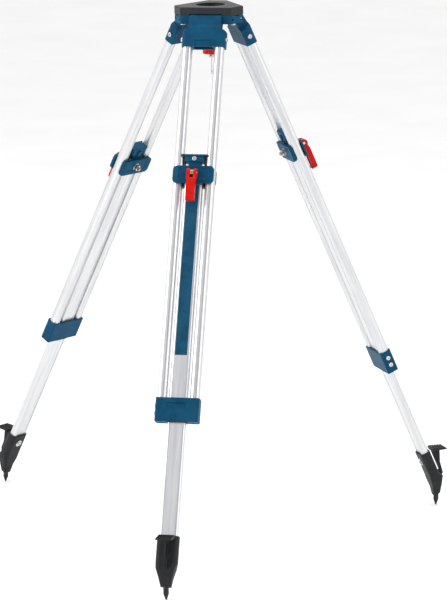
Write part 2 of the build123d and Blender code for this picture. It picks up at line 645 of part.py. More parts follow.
def guide_cap():
    width, depth, height = CAP_BODY
    low = height - CAP_TOP
    body = along(RectangleRounded(width, depth, CAP_ROUND), (-CAP_TOP, low))
    flange_width, flange_height = CAP_FLANGE
    flange_range = (-CAP_TOP, flange_height - CAP_TOP)
    body += along(Rectangle(flange_width, INNER_DEPTH + 2), flange_range)
    pitch = width / CAP_BUMPS
    bump_r = (pitch ** 2 / 16 + CAP_BUMP_HEIGHT ** 2) / (2 * CAP_BUMP_HEIGHT)
    for i in range(CAP_BUMPS):
        x = (i - (CAP_BUMPS - 1) / 2) * pitch
        body += rod_outward(bump_r, (-depth / 2 + 1, depth / 2 - 1), -CAP_TOP - CAP_BUMP_HEIGHT + bump_r, x=x)
    wing_width, wing_thick, wing_height = CAP_WING
    wing_in = RAIL_DEPTH / 2 + CAP_WING_GAP
    wing = slab(wing_width, (wing_in, wing_in + wing_thick), (-CAP_TOP, wing_height - CAP_TOP))
    body += chamfer(wing.edges().filter_by(Axis.Y), CAP_WING_CHAMFER)
    body += slab(flange_width - 4, (depth / 2 - 3, wing_in), flange_range)
    body += slab(CAP_NECK, (-INNER_DEPTH / 2, INNER_DEPTH / 2), (low, INNER_TOP))
    body += along(inner_hollow(), (INNER_TOP, CAP_PLUG_DOWN))
    boss_r, boss_height = CAP_BOSS
    body += rod_outward(boss_r, (-depth / 2 - boss_height, 0), -CAP_BOSS_UP)
    body -= rod_outward(BOLT_R, (-INNER_DEPTH, INNER_DEPTH), BOLT_DOWN)
    body -= rod_outward(SCREW_R, (depth / 2 - CAP_SCREW_LENGTH, depth), -CAP_SCREW_UP)
    return one(body)


def slide_pads():
    """Plastic pads between the moving leg and the two rails: above and below the clamp plates."""
    rail_face = RAIL_SPACING / 2 - RAIL_WIDTH / 2 - PAD_GAP
    pads = []
    cap_half = CAP_BODY[0] / 2
    for inner, (start, height), sign in ((cap_half, UPPER_PAD, -1), (INNER_WIDTH / 2, LOWER_PAD, 1)):
        top = sign * start
        for side in (-1, 1):
            pad = slab(rail_face - inner, (-PAD_DEPTH / 2, PAD_DEPTH / 2), (top, top + height),
                       x=side * (rail_face + inner) / 2)
            pads.append(one(pad))
    return pads


def clamp_plate(side):
    """Pressed plate that grips both rails: side is +1 outside and -1 inside."""
    outline = RectangleRounded(CLAMP_WIDE, CLAMP_HEIGHT, CLAMP_CORNER)
    plate = Pos(0, -PLATE_IN, -CLAMP_HEIGHT / 2) * extrude(Plane.XZ * outline, amount=CLAMP_THICK)
    slope_width, slope_fall = CLAMP_SLOPE
    half = CLAMP_WIDE / 2
    for sign in (-1, 1):
        wedge = Polygon(
            (sign * (half - slope_width), -PLATE_OUT), (sign * (half + 1), -PLATE_OUT + slope_fall),
            (sign * (half + 1), -PLATE_OUT - 1), (sign * (half - slope_width), -PLATE_OUT - 1), align=None)
        plate -= along(wedge, (-1, CLAMP_HEIGHT + 1))
    boss_width, boss_height = CLAMP_BOSS
    plate += slab(boss_width, (INNER_DEPTH / 2, PLATE_IN), (CLAMP_BOSS_DOWN, CLAMP_BOSS_DOWN + boss_height))
    width, height, depth = CLAMP_CHANNEL
    wide = 2 * CLAMP_CHANNEL_SIDE
    floor = Plane.XZ * Rectangle(width, height)
    mouth = Plane.XZ * Rectangle(width + wide, height + wide)
    floor = Pos(0, -PLATE_OUT + depth, -CLAMP_CHANNEL_DOWN) * floor
    mouth = Pos(0, -PLATE_OUT, -CLAMP_CHANNEL_DOWN) * mouth
    plate -= loft([floor, mouth])
    plate -= rod_outward(BOLT_R, (0, 2 * PLATE_OUT), BOLT_DOWN)
    if side < 0:
        plate = Rot(0, 0, 180) * plate
    return one(plate)


def clamp_bolt():
    eye = rod_across(BOLT_EYE_R, BOLT_EYE_WIDTH, LEVER_OUT, BOLT_DOWN)
    shank = rod_outward(BOLT_R, (-BOLT_END, LEVER_OUT - 1), BOLT_DOWN)
    bolt = eye + chamfer(shank.edges().sort_by(Axis.Y)[-1], BOLT_CHAMFER)
    return one(bolt - rod_across(LEVER_PIN_R + LEVER_RUNNING, 2 * BOLT_EYE_WIDTH, LEVER_OUT, BOLT_DOWN))


def clamp_nut_and_washer():
    """On the inward end of the clamp's bolt."""
    washer_r, washer_thick = NUT_WASHER
    seat = PLATE_OUT - CLAMP_CHANNEL[2]
    washer = rod_outward(washer_r, (-seat - washer_thick, -seat), BOLT_DOWN)
    washer -= rod_outward(BOLT_R, (-2 * seat, 0), BOLT_DOWN)
    nut_seat = seat + washer_thick
    nut = extrude(Plane.XZ * RegularPolygon(NUT_ACROSS / 2, 6, major_radius=False), amount=-NUT_THICK)
    nut = Pos(0, nut_seat, -BOLT_DOWN) * nut
    nut -= rod_outward(BOLT_R, (-2 * nut_seat, 0), BOLT_DOWN)
    return [one(washer), one(nut)]


def cam_lever():
    """Lever in its closed position, lying down the leg: two cam lobes and a hollow blade with a hooked end."""
    free_end = BOLT_DOWN + LEVER_LENGTH
    fold = BOLT_DOWN + LEVER_FOLD
    under = PLATE_OUT + LEVER_STAND
    face = under + LEVER_THICK
    head = side_profile([
        (LEVER_OUT + CAM_R, BOLT_DOWN), (LEVER_OUT + CAM_R - 1.0, fold), (face - 1.0, fold + 9.0),
        (under, fold + 9.0), (under, fold - 2.0), (LEVER_OUT - 2.0, BOLT_DOWN),
    ], LEVER_WIDTH)
    lobes = rod_across(CAM_R, LEVER_WIDTH, LEVER_OUT, BOLT_DOWN)
    blade = side_profile([
        (LEVER_OUT + CAM_R - 1.0, fold), (face, free_end - 8.0),
        (face - 1.5, free_end - 1.5), (face - 4.0, free_end), (under - LEVER_LIP + 1.5, free_end),
        (under - LEVER_LIP, free_end - 2.0), (under - LEVER_LIP + 1.0, free_end - 5.0), (under, free_end - 7.0),
        (under, fold),
    ], LEVER_BLADE)
    long_edges = [edge for edge in blade.edges() if abs(edge.center().X) > LEVER_BLADE / 2 - 0.1]
    outer_edges = [edge for edge in long_edges if -edge.center().Y > face - 1.0 and edge.length > 10.0]
    blade = fillet(outer_edges, 1.2)
    hollow = slab(LEVER_BLADE - 2 * LEVER_WALL, (under - 1.0, face - LEVER_WALL), (fold + 9.0, free_end - 7.0))
    lever = head + lobes + (blade - hollow)
    slot_range = (BOLT_DOWN - 2 * CAM_R, fold + 1.0)
    lever -= slab(LEVER_SLOT, (PLATE_OUT - 5.0, LEVER_OUT + 2 * CAM_R), slot_range)
    return one(lever - rod_across(LEVER_PIN_R, 2 * LEVER_WIDTH, LEVER_OUT, BOLT_DOWN))


def lever_pin():
    pin = rod_across(LEVER_PIN_R, LEVER_WIDTH + 2 * LEVER_PIN_PROUD, LEVER_OUT, BOLT_DOWN)
    return one(chamfer(pin.edges(), LEVER_PIN_PROUD / 2))


def leg_label():
    width, length, thick = LABEL_SIZE
    face = INNER_DEPTH / 2 - INNER_RECESS[1]
    return one(slab(width, (face, face + thick), (LABEL_TOP, LABEL_TOP + length)))


# ---- foot pieces, drawn with the socket's upper edge at down = 0 --------------------------------
def spike_frame():
    """Spike axis: the origin is the centre of the rounded tip and +Z runs up the spike."""
    return Pos(0, SPIKE_INSET, -SPIKE_DOWN) * Rot(SPIKE_TILT, 0, 0)


def foot_spike():
    cone = Cone(SPIKE_TIP_R, SPIKE_R, SPIKE_CONE, align=(MID, MID, LOW))
    shaft = Pos(0, 0, SPIKE_CONE) * Cylinder(SPIKE_R, SPIKE_LENGTH - SPIKE_CONE, align=(MID, MID, LOW))
    return one(spike_frame() * (Sphere(SPIKE_TIP_R) + cone + shaft))


def pedal():
    """Post beside the socket, with a toothed step on top and a rib under it."""
    post_width, post_thick = PEDAL_POST
    step_width, step_thick = PEDAL_STEP
    post_in = FOOT_DEPTH / 2 + PEDAL_SLOT
    post_out = post_in + post_thick
    heel, heel_out = FOOT_SECTIONS[0][0], FOOT_SECTIONS[0][3]
    low = heel + 4.0
    post = side_profile([
        (post_in, 1.0), (post_out, 1.0), (post_out + 1.0, heel - 10.0), (heel_out, low + 2.0),
        (heel_out / 2, low + 2.0), (heel_out / 2, FOOT_TAPER_TOP + 4.0), (post_in, FOOT_TAPER_TOP),
    ], post_width)
    slope = PEDAL_DROP / (PEDAL_OUT - post_in)
    step = side_profile([
        (post_in, 0.0), (PEDAL_OUT, PEDAL_DROP), (PEDAL_OUT - 1.0, PEDAL_DROP + step_thick - 1.5),
        (post_in + 3.0, step_thick + 2.0), (post_in, step_thick + 4.0),
    ], step_width)
    step = fillet(step.edges().filter_by(Axis.X).sort_by(Axis.Y)[0:2], 0.6)
    gusset_out, gusset_height = PEDAL_GUSSET
    gusset = side_profile([
        (post_in, step_thick), (post_in + gusset_out, step_thick + gusset_out * slope),
        (post_out, step_thick + gusset_height), (post_in, step_thick + gusset_height),
    ], post_width)
    tooth_width, tooth_height = PEDAL_TOOTH
    pitch = (PEDAL_OUT - post_in - tooth_width) / PEDAL_TEETH
    for i in range(PEDAL_TEETH):
        out = post_in + tooth_width + i * pitch
        down = (out - post_in) * slope
        rise = tooth_width * slope
        tooth = [
            (out, down + 0.5), (out + tooth_width, down + rise + 0.5),
            (out + tooth_width, down + rise - tooth_height),
            (out + tooth_width / 2, down + rise - tooth_height),
        ]
        step += side_profile(tooth, step_width - 2 * PEDAL_TOOTH_INSET)
    rib_top = (PEDAL_RIB_OUT - post_in) * slope + step_thick - 1.0
    rib = side_profile([
        (post_in + 1.0, step_thick), (PEDAL_RIB_OUT, rib_top), (post_out + 4.0, heel - 28.0),
        (post_out, heel), (post_in + 1.0, heel),
    ], PEDAL_RIB)
    return post + step + gusset + rib


def foot():
    socket_outline = RectangleRounded(FOOT_WIDTH, FOOT_DEPTH, FOOT_ROUND)
    socket = along(socket_outline, (0, FOOT_TAPER_TOP))
    faces = [Pos(0, 0, -FOOT_TAPER_TOP) * socket_outline]
    for down, share, inner, outer in FOOT_SECTIONS:
        outline = RectangleRounded(FOOT_WIDTH * share, outer - inner, FOOT_LOW_ROUND)
        faces.append(Pos(0, -(inner + outer) / 2, -down) * outline)
    body = socket + loft(faces, ruled=True) + pedal()
    body -= along(inner_section(), (-1, SOCKET_DEPTH))
    spike_hole = Cylinder(SPIKE_R, SPIKE_LENGTH, align=(MID, MID, LOW))
    body -= spike_frame() * spike_hole
    body -= rod_outward(SCREW_R, (-FOOT_DEPTH, 0), FOOT_SCREW_DOWN)
    return one(body)


def lower_fasteners():
    """Clamp nut and washer, guide cap screw, and foot screw with its washer."""
    cap_face = CAP_BODY[1] / 2
    guide = Pos(0, -cap_face, CAP_SCREW_UP) * Rot(-90, 0, 0) * pan_screw(CAP_SCREW_LENGTH)
    washer_r, washer_thick = FOOT_WASHER
    down = FOOT_DOWN + FOOT_SCREW_DOWN
    face = FOOT_DEPTH / 2
    washer = rod_outward(washer_r, (-face - washer_thick, -face), down)
    washer -= rod_outward(SCREW_R, (-2 * face, 0), down)
    screw = Pos(0, face + washer_thick, -down) * Rot(90, 0, 0) * pan_screw(face + washer_thick - 6.0)
    return [*clamp_nut_and_washer(), one(guide), one(washer), one(screw)]


# ---- assembly -----------------------------------------------------------------------------------
def head_pieces():
    return {
        "head_plate": head_plate(),
        "head_frame": head_frame(),
        "hinge_pins": hinge_pins(),
        "corner_screws": corner_screws(),
        "arm_pivot": arm_pivot(),
        "screw_arm": screw_arm(),
        "slider_bush": slider_bush(),
        "thrust_washer": thrust_washer(),
        "fixing_screw": fixing_screw(),
        "knob": knob(),
        "plumb_hook": plumb_hook(),
    }


def upper_leg_pieces():
    return {
        "hinge_block": hinge_block(),
        "rails": rails(),
        "rail_screws": rail_screws(),
        "end_bracket": end_bracket(),
        "slide_liner": slide_liner(),
    }


def lower_leg_pieces():
    below = Pos(0, 0, -FOOT_DOWN)
    return {
        "inner_leg": inner_leg(),
        "guide_cap": guide_cap(),
        "slide_pads": slide_pads(),
        "clamp_front_plate": clamp_plate(1),
        "clamp_rear_plate": clamp_plate(-1),
        "clamp_bolt": clamp_bolt(),
        "cam_lever": cam_lever(),
        "lever_pin": lever_pin(),
        "foot": below * foot(),
        "foot_spike": below * foot_spike(),
        "lower_fasteners": lower_fasteners(),
    }


def placed(place, shape):
    """A piece, or a group of separate solids, moved to its place."""
    if isinstance(shape, list):
        return Compound(children=[place * solid for solid in shape])
    return place * shape


def tripod_pieces():
    pieces = {name: placed(Pos(0, 0, 0), shape) for name, shape in head_pieces().items()}
    upper = upper_leg_pieces()
    lower = lower_leg_pieces()
    for leg in LEG_AZIMUTH:
        place = on_leg(leg)
        for name, shape in upper.items():
            pieces[name + "_" + leg] = placed(place, shape)
        slid = place * Pos(0, 0, -clamp_down(leg))
        for name, shape in lower.items():
            pieces[name + "_" + leg] = placed(slid, shape)
    pieces["leg_label_front"] = on_leg("front") * Pos(0, 0, -clamp_down("front")) * leg_label()
    return pieces


def main():
    os.makedirs(PARTS, exist_ok=True)
    for name, shape in tripod_pieces().items():
        export_step(shape, os.path.join(PARTS, name + ".step"))
        print(name)
    for leg in LEG_AZIMUTH:
        print("clamp down", leg, round(clamp_down(leg), 3))


main()
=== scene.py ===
import json
import math

import bmesh
import bpy
from mathutils import Matrix, Vector


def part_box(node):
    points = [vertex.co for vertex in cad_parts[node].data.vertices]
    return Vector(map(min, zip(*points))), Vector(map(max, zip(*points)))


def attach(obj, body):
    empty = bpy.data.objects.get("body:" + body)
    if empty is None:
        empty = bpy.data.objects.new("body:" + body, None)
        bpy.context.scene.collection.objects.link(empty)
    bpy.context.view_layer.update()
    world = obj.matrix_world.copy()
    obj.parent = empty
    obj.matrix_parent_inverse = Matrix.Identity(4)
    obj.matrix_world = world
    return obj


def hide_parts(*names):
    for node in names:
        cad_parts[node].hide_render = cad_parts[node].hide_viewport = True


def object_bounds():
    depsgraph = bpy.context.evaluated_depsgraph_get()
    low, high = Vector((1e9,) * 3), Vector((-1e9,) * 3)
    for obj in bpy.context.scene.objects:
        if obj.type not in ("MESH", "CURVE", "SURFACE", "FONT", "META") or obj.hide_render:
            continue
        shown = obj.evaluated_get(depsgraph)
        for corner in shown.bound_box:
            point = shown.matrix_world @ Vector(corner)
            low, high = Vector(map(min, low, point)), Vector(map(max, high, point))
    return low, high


# Light aluminium survey tripod. Metres, the origin is the centre of the head's top face, +Z is up.
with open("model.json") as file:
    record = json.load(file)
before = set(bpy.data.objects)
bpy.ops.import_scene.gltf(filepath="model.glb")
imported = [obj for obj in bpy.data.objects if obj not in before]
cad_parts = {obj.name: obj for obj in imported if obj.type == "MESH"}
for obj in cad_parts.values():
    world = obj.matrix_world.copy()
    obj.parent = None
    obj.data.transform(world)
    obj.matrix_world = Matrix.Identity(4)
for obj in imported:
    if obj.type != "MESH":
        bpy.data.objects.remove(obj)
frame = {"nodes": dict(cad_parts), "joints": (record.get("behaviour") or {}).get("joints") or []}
cad_low, cad_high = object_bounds()
NODES = frame["nodes"]
JOINTS = {joint["name"]: joint for joint in frame["joints"]}
LEGS = ("front", "right", "left")
MM = 0.001
SMOOTH_ANGLE = math.radians(35.0)
FINE_BUMP = 0.02 * MM


# ---- where the legs are ---------------------------------------------------------------------------
def clamp_place(leg):
    """From the clamp's own axes to the tripod's. The clamp's origin is its lever's pin: X runs along
    the pin, -Y is outward from the leg and -Z is down the leg."""
    along_pin = -Vector(JOINTS["lever_open_" + leg]["axis"])
    up_leg = -Vector(JOINTS["leg_slide_" + leg]["axis"])
    inward = up_leg.cross(along_pin)
    place = Matrix((along_pin, inward, up_leg)).transposed().to_4x4()
    place.translation = Vector(JOINTS["lever_open_" + leg]["pos_m"])
    return place


# ---- finishes -------------------------------------------------------------------------------------
def colour(hex_code):
    """sRGB hex to the linear colour that the shader wants."""
    parts = [int(hex_code[i:i + 2], 16) / 255 for i in (1, 3, 5)]
    linear = [c / 12.92 if c <= 0.04045 else ((c + 0.055) / 1.055) ** 2.4 for c in parts]
    return (*linear, 1.0)


def pattern(size_mm):
    """The scale that makes a noise pattern's cells this size."""
    return 1.0 / (size_mm * MM)


def add(tree, kind, inputs=None, **settings):
    """One shader node. A value in inputs is a constant, or another node's output to link from."""
    node = tree.nodes.new("ShaderNode" + kind)
    for name, value in settings.items():
        setattr(node, name, value)
    for socket, value in (inputs or {}).items():
        if isinstance(value, bpy.types.NodeSocket):
            tree.links.new(value, node.inputs[socket])
        else:
            node.inputs[socket].default_value = value
    return node


def finish(name):
    """An empty material, with its surface shader and its object coordinates."""
    material = bpy.data.materials.new(name)
    material.use_nodes = True
    tree = material.node_tree
    shader = tree.nodes["Principled BSDF"]
    place = add(tree, "TexCoord").outputs["Object"]
    return material, tree, shader, place


def spread(tree, signal, low, high, out_low, out_high):
    """A noise value stretched from its usual low..high to the range that the finish needs."""
    inputs = {"Value": signal, "From Min": low, "From Max": high, "To Min": out_low, "To Max": out_high}
    return add(tree, "MapRange", inputs).outputs["Result"]


def blend(tree, share, first, second):
    inputs = {0: share, 6: first, 7: second}
    return add(tree, "Mix", inputs, data_type="RGBA").outputs[2]


def satin_blue_paint():
    # Baked satin enamel on die castings: deep petrol blue, a fine orange peel about a millimetre
    # across, faint handling marks that show as slightly paler, rougher clouds, and a soft gleam along
    # every edge.
    material, tree, shader, place = finish("satin_blue_paint")
    clouds = add(tree, "TexNoise", {
        "Vector": place, "Scale": pattern(26.3), "Detail": 4.0, "Roughness": 0.6})
    peel = add(tree, "TexNoise", {"Vector": place, "Scale": pattern(1.11), "Detail": 2.0})
    rubs = add(tree, "TexNoise", {
        "Vector": place, "Scale": pattern(6.25), "Detail": 6.0, "Roughness": 0.75})
    worn = spread(tree, rubs.outputs["Fac"], 0.60, 0.74, 0.0, 0.22)
    shade = spread(tree, clouds.outputs["Fac"], 0.3, 0.7, 0.0, 1.0)
    deep = blend(tree, shade, colour("#0d3d59"), colour("#134d6b"))
    tree.links.new(blend(tree, worn, deep, colour("#2b6c8f")), shader.inputs["Base Color"])
    shader.inputs["Specular IOR Level"].default_value = 0.06
    gloss = spread(tree, clouds.outputs["Fac"], 0.3, 0.7, 0.36, 0.48)
    tree.links.new(gloss, shader.inputs["Roughness"])
    edge = add(tree, "Bevel", {"Radius": 0.5 * MM}, samples=4)
    bump = add(tree, "Bump", {
        "Strength": 0.10, "Distance": 0.05 * MM, "Height": peel.outputs["Fac"],
        "Normal": edge.outputs["Normal"]})
    tree.links.new(bump.outputs["Normal"], shader.inputs["Normal"])
    return material


def anthracite_plastic():
    # Glass-filled moulding with a spark-eroded grain: charcoal grey, dull, with pale dust in the
    # grain. The real grain is a tenth of a millimetre, too fine to show, so it is drawn at 0.9 mm.
    material, tree, shader, place = finish("anthracite_plastic")
    grain = add(tree, "TexNoise", {
        "Vector": place, "Scale": pattern(0.91), "Detail": 3.0, "Roughness": 0.7})
    clouds = add(tree, "TexNoise", {"Vector": place, "Scale": pattern(33.3), "Detail": 3.0})
    shade = spread(tree, clouds.outputs["Fac"], 0.3, 0.7, 0.0, 1.0)
    body = blend(tree, shade, colour("#1b1d1e"), colour("#252729"))
    specks = spread(tree, grain.outputs["Fac"], 0.55, 0.75, 0.0, 0.25)
    tree.links.new(blend(tree, specks, body, colour("#54585a")), shader.inputs["Base Color"])
    shader.inputs["Specular IOR Level"].default_value = 0.3
    gloss = spread(tree, clouds.outputs["Fac"], 0.3, 0.7, 0.42, 0.55)
    tree.links.new(gloss, shader.inputs["Roughness"])
    edge = add(tree, "Bevel", {"Radius": 0.8 * MM}, samples=4)
    bump = add(tree, "Bump", {
        "Strength": 0.25, "Distance": 0.08 * MM, "Height": grain.outputs["Fac"],
        "Normal": edge.outputs["Normal"]})
    tree.links.new(bump.outputs["Normal"], shader.inputs["Normal"])
    return material


def anodised_extrusion(leg):
    # Clear anodised aluminium profile: bright satin silver with fine die lines that run the whole
    # length of the leg, and a few duller bands left by the clamp sliding along it. Real die lines are
    # about 0.1 mm apart, too fine to show, so they are drawn at 0.45 mm.
    material, tree, shader, place = finish("anodised_extrusion_" + leg)
    turn = clamp_place(leg).to_3x3().inverted().to_euler()
    along = add(tree, "Mapping", {"Vector": place, "Rotation": turn}).outputs["Vector"]
    lines_place = add(tree, "Mapping", {"Vector": along, "Scale": (1.0, 1.0, 0.006)}).outputs["Vector"]
    lines = add(tree, "TexNoise", {
        "Vector": lines_place, "Scale": pattern(0.4545), "Detail": 4.0, "Roughness": 0.7})
    bands_place = add(tree, "Mapping", {"Vector": along, "Scale": (1.0, 1.0, 0.05)}).outputs["Vector"]
    bands = add(tree, "TexNoise", {"Vector": bands_place, "Scale": pattern(6.25), "Detail": 3.0})
    shade = spread(tree, bands.outputs["Fac"], 0.3, 0.7, 0.0, 1.0)
    tree.links.new(
        blend(tree, shade, colour("#cbccce"), colour("#dddee0")),
        shader.inputs["Base Color"])
    shader.inputs["Metallic"].default_value = 0.9
    gloss = spread(tree, lines.outputs["Fac"], 0.3, 0.7, 0.30, 0.42)
    tree.links.new(gloss, shader.inputs["Roughness"])
    bump = add(tree, "Bump", {"Strength": 0.06, "Distance": FINE_BUMP, "Height": lines.outputs["Fac"]})
    tree.links.new(bump.outputs["Normal"], shader.inputs["Normal"])
    return material


def bright_zinc():
    # Bright zinc plate on turned steel: cool silver, faint cloudiness, tiny handling scratches drawn
    # half a millimetre wide so that they show.
    material, tree, shader, place = finish("bright_zinc")
    clouds = add(tree, "TexNoise", {
        "Vector": place, "Scale": pattern(3.33), "Detail": 4.0, "Roughness": 0.6})
    shade = spread(tree, clouds.outputs["Fac"], 0.3, 0.7, 0.0, 1.0)
    tree.links.new(
        blend(tree, shade, colour("#b9bcbe"), colour("#dadcdd")),
        shader.inputs["Base Color"])
    shader.inputs["Metallic"].default_value = 1.0
    tree.links.new(
        spread(tree, clouds.outputs["Fac"], 0.3, 0.7, 0.18, 0.34),
        shader.inputs["Roughness"])
    scratches = add(tree, "TexNoise", {"Vector": place, "Scale": pattern(0.5556), "Detail": 2.0})
    bump = add(tree, "Bump", {
        "Strength": 0.08, "Distance": FINE_BUMP, "Height": scratches.outputs["Fac"]})
    tree.links.new(bump.outputs["Normal"], shader.inputs["Normal"])
    return material


THREAD_PITCH, THREAD_LOW = 25.4 / 11 * MM, -33.0 * MM


def threaded_zinc():
    # The fixing screw: bright zinc with a rolled 5/8 inch thread, 11 to the inch, on its upper end. The
    # grooves are painted darker than the crests as painted shade.
    material, tree, shader, place = finish("threaded_zinc")
    clouds = add(tree, "TexNoise", {
        "Vector": place, "Scale": pattern(3.33), "Detail": 4.0, "Roughness": 0.6})
    bands_per_metre = 2 * math.pi / (20 * THREAD_PITCH)    # a wave's band is 2 pi / 20 long at scale 1
    thread = add(tree, "TexWave", {"Vector": place, "Scale": bands_per_metre}, bands_direction="Z")
    height = add(tree, "SeparateXYZ", {"Vector": place}).outputs["Z"]
    threaded = spread(tree, height, THREAD_LOW, THREAD_LOW + 0.2 * MM, 0.0, 1.0)
    groove_and_shade = add(tree, "Math", {
        0: thread.outputs["Fac"], 1: threaded}, operation="MULTIPLY").outputs["Value"]
    metal = blend(tree, clouds.outputs["Fac"], colour("#b4b7b9"), colour("#d2d5d6"))
    # painted shade: the thread's grooves are coloured darker than the crests
    tree.links.new(blend(tree, groove_and_shade, metal, colour("#6f7274")), shader.inputs["Base Color"])
    shader.inputs["Metallic"].default_value = 1.0
    tree.links.new(spread(tree, clouds.outputs["Fac"], 0.3, 0.7, 0.2, 0.34), shader.inputs["Roughness"])
    bump = add(tree, "Bump", {"Strength": 0.8, "Distance": 0.7 * MM, "Height": groove_and_shade}, invert=True)
    tree.links.new(bump.outputs["Normal"], shader.inputs["Normal"])
    return material


def yellow_zinc():
    # Yellow passivated zinc on the clamp bolts: pale straw gold that drifts towards pink and green.
    material, tree, shader, place = finish("yellow_zinc")
    drift = add(tree, "TexNoise", {"Vector": place, "Scale": pattern(3.85), "Detail": 3.0})
    shade = spread(tree, drift.outputs["Fac"], 0.3, 0.7, 0.0, 1.0)
    tree.links.new(
        blend(tree, shade, colour("#96804c"), colour("#b3a87c")),
        shader.inputs["Base Color"])
    shader.inputs["Metallic"].default_value = 1.0
    tree.links.new(spread(tree, drift.outputs["Fac"], 0.3, 0.7, 0.2, 0.36), shader.inputs["Roughness"])
    return material


def plated_sheet():
    # Zinc plated sheet steel of the swinging arm: duller than turned parts, with a rolled grain that
    # is drawn a millimetre wide so that it shows.
    material, tree, shader, place = finish("plated_sheet")
    stretched = add(tree, "Mapping", {"Vector": place, "Scale": (1.0, 0.03, 1.0)}).outputs["Vector"]
    grain = add(tree, "TexNoise", {"Vector": stretched, "Scale": pattern(1.11), "Detail": 3.0})
    shade = spread(tree, grain.outputs["Fac"], 0.3, 0.7, 0.0, 1.0)
    tree.links.new(
        blend(tree, shade, colour("#9b9fa1"), colour("#c3c6c8")),
        shader.inputs["Base Color"])
    shader.inputs["Metallic"].default_value = 1.0
    tree.links.new(spread(tree, grain.outputs["Fac"], 0.3, 0.7, 0.3, 0.48), shader.inputs["Roughness"])
    bump = add(tree, "Bump", {"Strength": 0.1, "Distance": FINE_BUMP, "Height": grain.outputs["Fac"]})
    tree.links.new(bump.outputs["Normal"], shader.inputs["Normal"])
    return material


def red_plastic():
    # Smooth signal-red moulding: glossy, with the slight waviness of a thick moulded wall and a
    # few dull rubs from gloves.
    material, tree, shader, place = finish("signal_red_plastic")
    wave = add(tree, "TexNoise", {"Vector": place, "Scale": pattern(8.33), "Detail": 2.0})
    rubs = add(tree, "TexNoise", {
        "Vector": place, "Scale": pattern(1.43), "Detail": 5.0, "Roughness": 0.8})
    shade = spread(tree, wave.outputs["Fac"], 0.3, 0.7, 0.0, 1.0)
    tree.links.new(
        blend(tree, shade, colour("#b80d05"), colour("#c8140a")),
        shader.inputs["Base Color"])
    tree.links.new(spread(tree, rubs.outputs["Fac"], 0.45, 0.75, 0.2, 0.42), shader.inputs["Roughness"])
    shader.inputs["Specular IOR Level"].default_value = 0.12
    shader.inputs["Coat Weight"].default_value = 0.12
    shader.inputs["Coat Roughness"].default_value = 0.12
    bump = add(tree, "Bump", {"Strength": 0.12, "Distance": 0.1 * MM, "Height": wave.outputs["Fac"]})
    tree.links.new(bump.outputs["Normal"], shader.inputs["Normal"])
    return material


def black_plastic():
    # Black acetal of the pads, liners and bush: smooth where it slides, waxy sheen.
    material, tree, shader, place = finish("black_sliding_plastic")
    marks = add(tree, "TexNoise", {"Vector": place, "Scale": pattern(2.38), "Detail": 4.0})
    shade = spread(tree, marks.outputs["Fac"], 0.35, 0.7, 0.0, 1.0)
    tree.links.new(
        blend(tree, shade, colour("#101113"), colour("#1d1f21")),
        shader.inputs["Base Color"])
    tree.links.new(spread(tree, marks.outputs["Fac"], 0.3, 0.7, 0.34, 0.5), shader.inputs["Roughness"])
    bump = add(tree, "Bump", {"Strength": 0.12, "Distance": 0.05 * MM, "Height": marks.outputs["Fac"]})
    tree.links.new(bump.outputs["Normal"], shader.inputs["Normal"])
    return material


def dark_powder_coat():
    # Textured anthracite powder coat on the cast feet: pebbled grain about a millimetre across,
    # rubbed paler on the high spots.
    material, tree, shader, place = finish("dark_powder_coat")
    pebbles = add(tree, "TexVoronoi", {"Vector": place, "Scale": pattern(1.333)}, feature="SMOOTH_F1")
    clouds = add(tree, "TexNoise", {
        "Vector": place, "Scale": pattern(16.7), "Detail": 5.0, "Roughness": 0.65})
    shade = spread(tree, clouds.outputs["Fac"], 0.3, 0.7, 0.0, 1.0)
    body = blend(tree, shade, colour("#1e2021"), colour("#282a2b"))
    rubbed = spread(tree, clouds.outputs["Fac"], 0.60, 0.72, 0.0, 0.3)
    tree.links.new(blend(tree, rubbed, body, colour("#414445")), shader.inputs["Base Color"])
    shader.inputs["Specular IOR Level"].default_value = 0.15
    tree.links.new(
        spread(tree, clouds.outputs["Fac"], 0.3, 0.7, 0.40, 0.58),
        shader.inputs["Roughness"])
    edge = add(tree, "Bevel", {"Radius": 0.8 * MM}, samples=4)
    bump = add(tree, "Bump", {
        "Strength": 0.30, "Distance": 0.12 * MM, "Height": pebbles.outputs["Distance"],
        "Normal": edge.outputs["Normal"]})
    tree.links.new(bump.outputs["Normal"], shader.inputs["Normal"])
    return material


def oxide_black_steel():
    # Hardened spikes with a black oxide skin, scoured to bare steel in fine streaks by the ground.
    material, tree, shader, place = finish("oxide_black_steel")
    streaks_place = add(tree, "Mapping", {"Vector": place, "Scale": (1.0, 1.0, 0.12)}).outputs["Vector"]
    streaks = add(tree, "TexNoise", {"Vector": streaks_place, "Scale": pattern(1.11), "Detail": 5.0})
    bare = spread(tree, streaks.outputs["Fac"], 0.52, 0.7, 0.0, 0.6)
    tree.links.new(blend(tree, bare, colour("#26282b"), colour("#7d8083")), shader.inputs["Base Color"])
    shader.inputs["Metallic"].default_value = 0.85
    tree.links.new(
        spread(tree, streaks.outputs["Fac"], 0.3, 0.7, 0.28, 0.5),
        shader.inputs["Roughness"])
    bump = add(tree, "Bump", {
        "Strength": 0.15, "Distance": 0.05 * MM, "Height": streaks.outputs["Fac"]})
    tree.links.new(bump.outputs["Normal"], shader.inputs["Normal"])
    return material


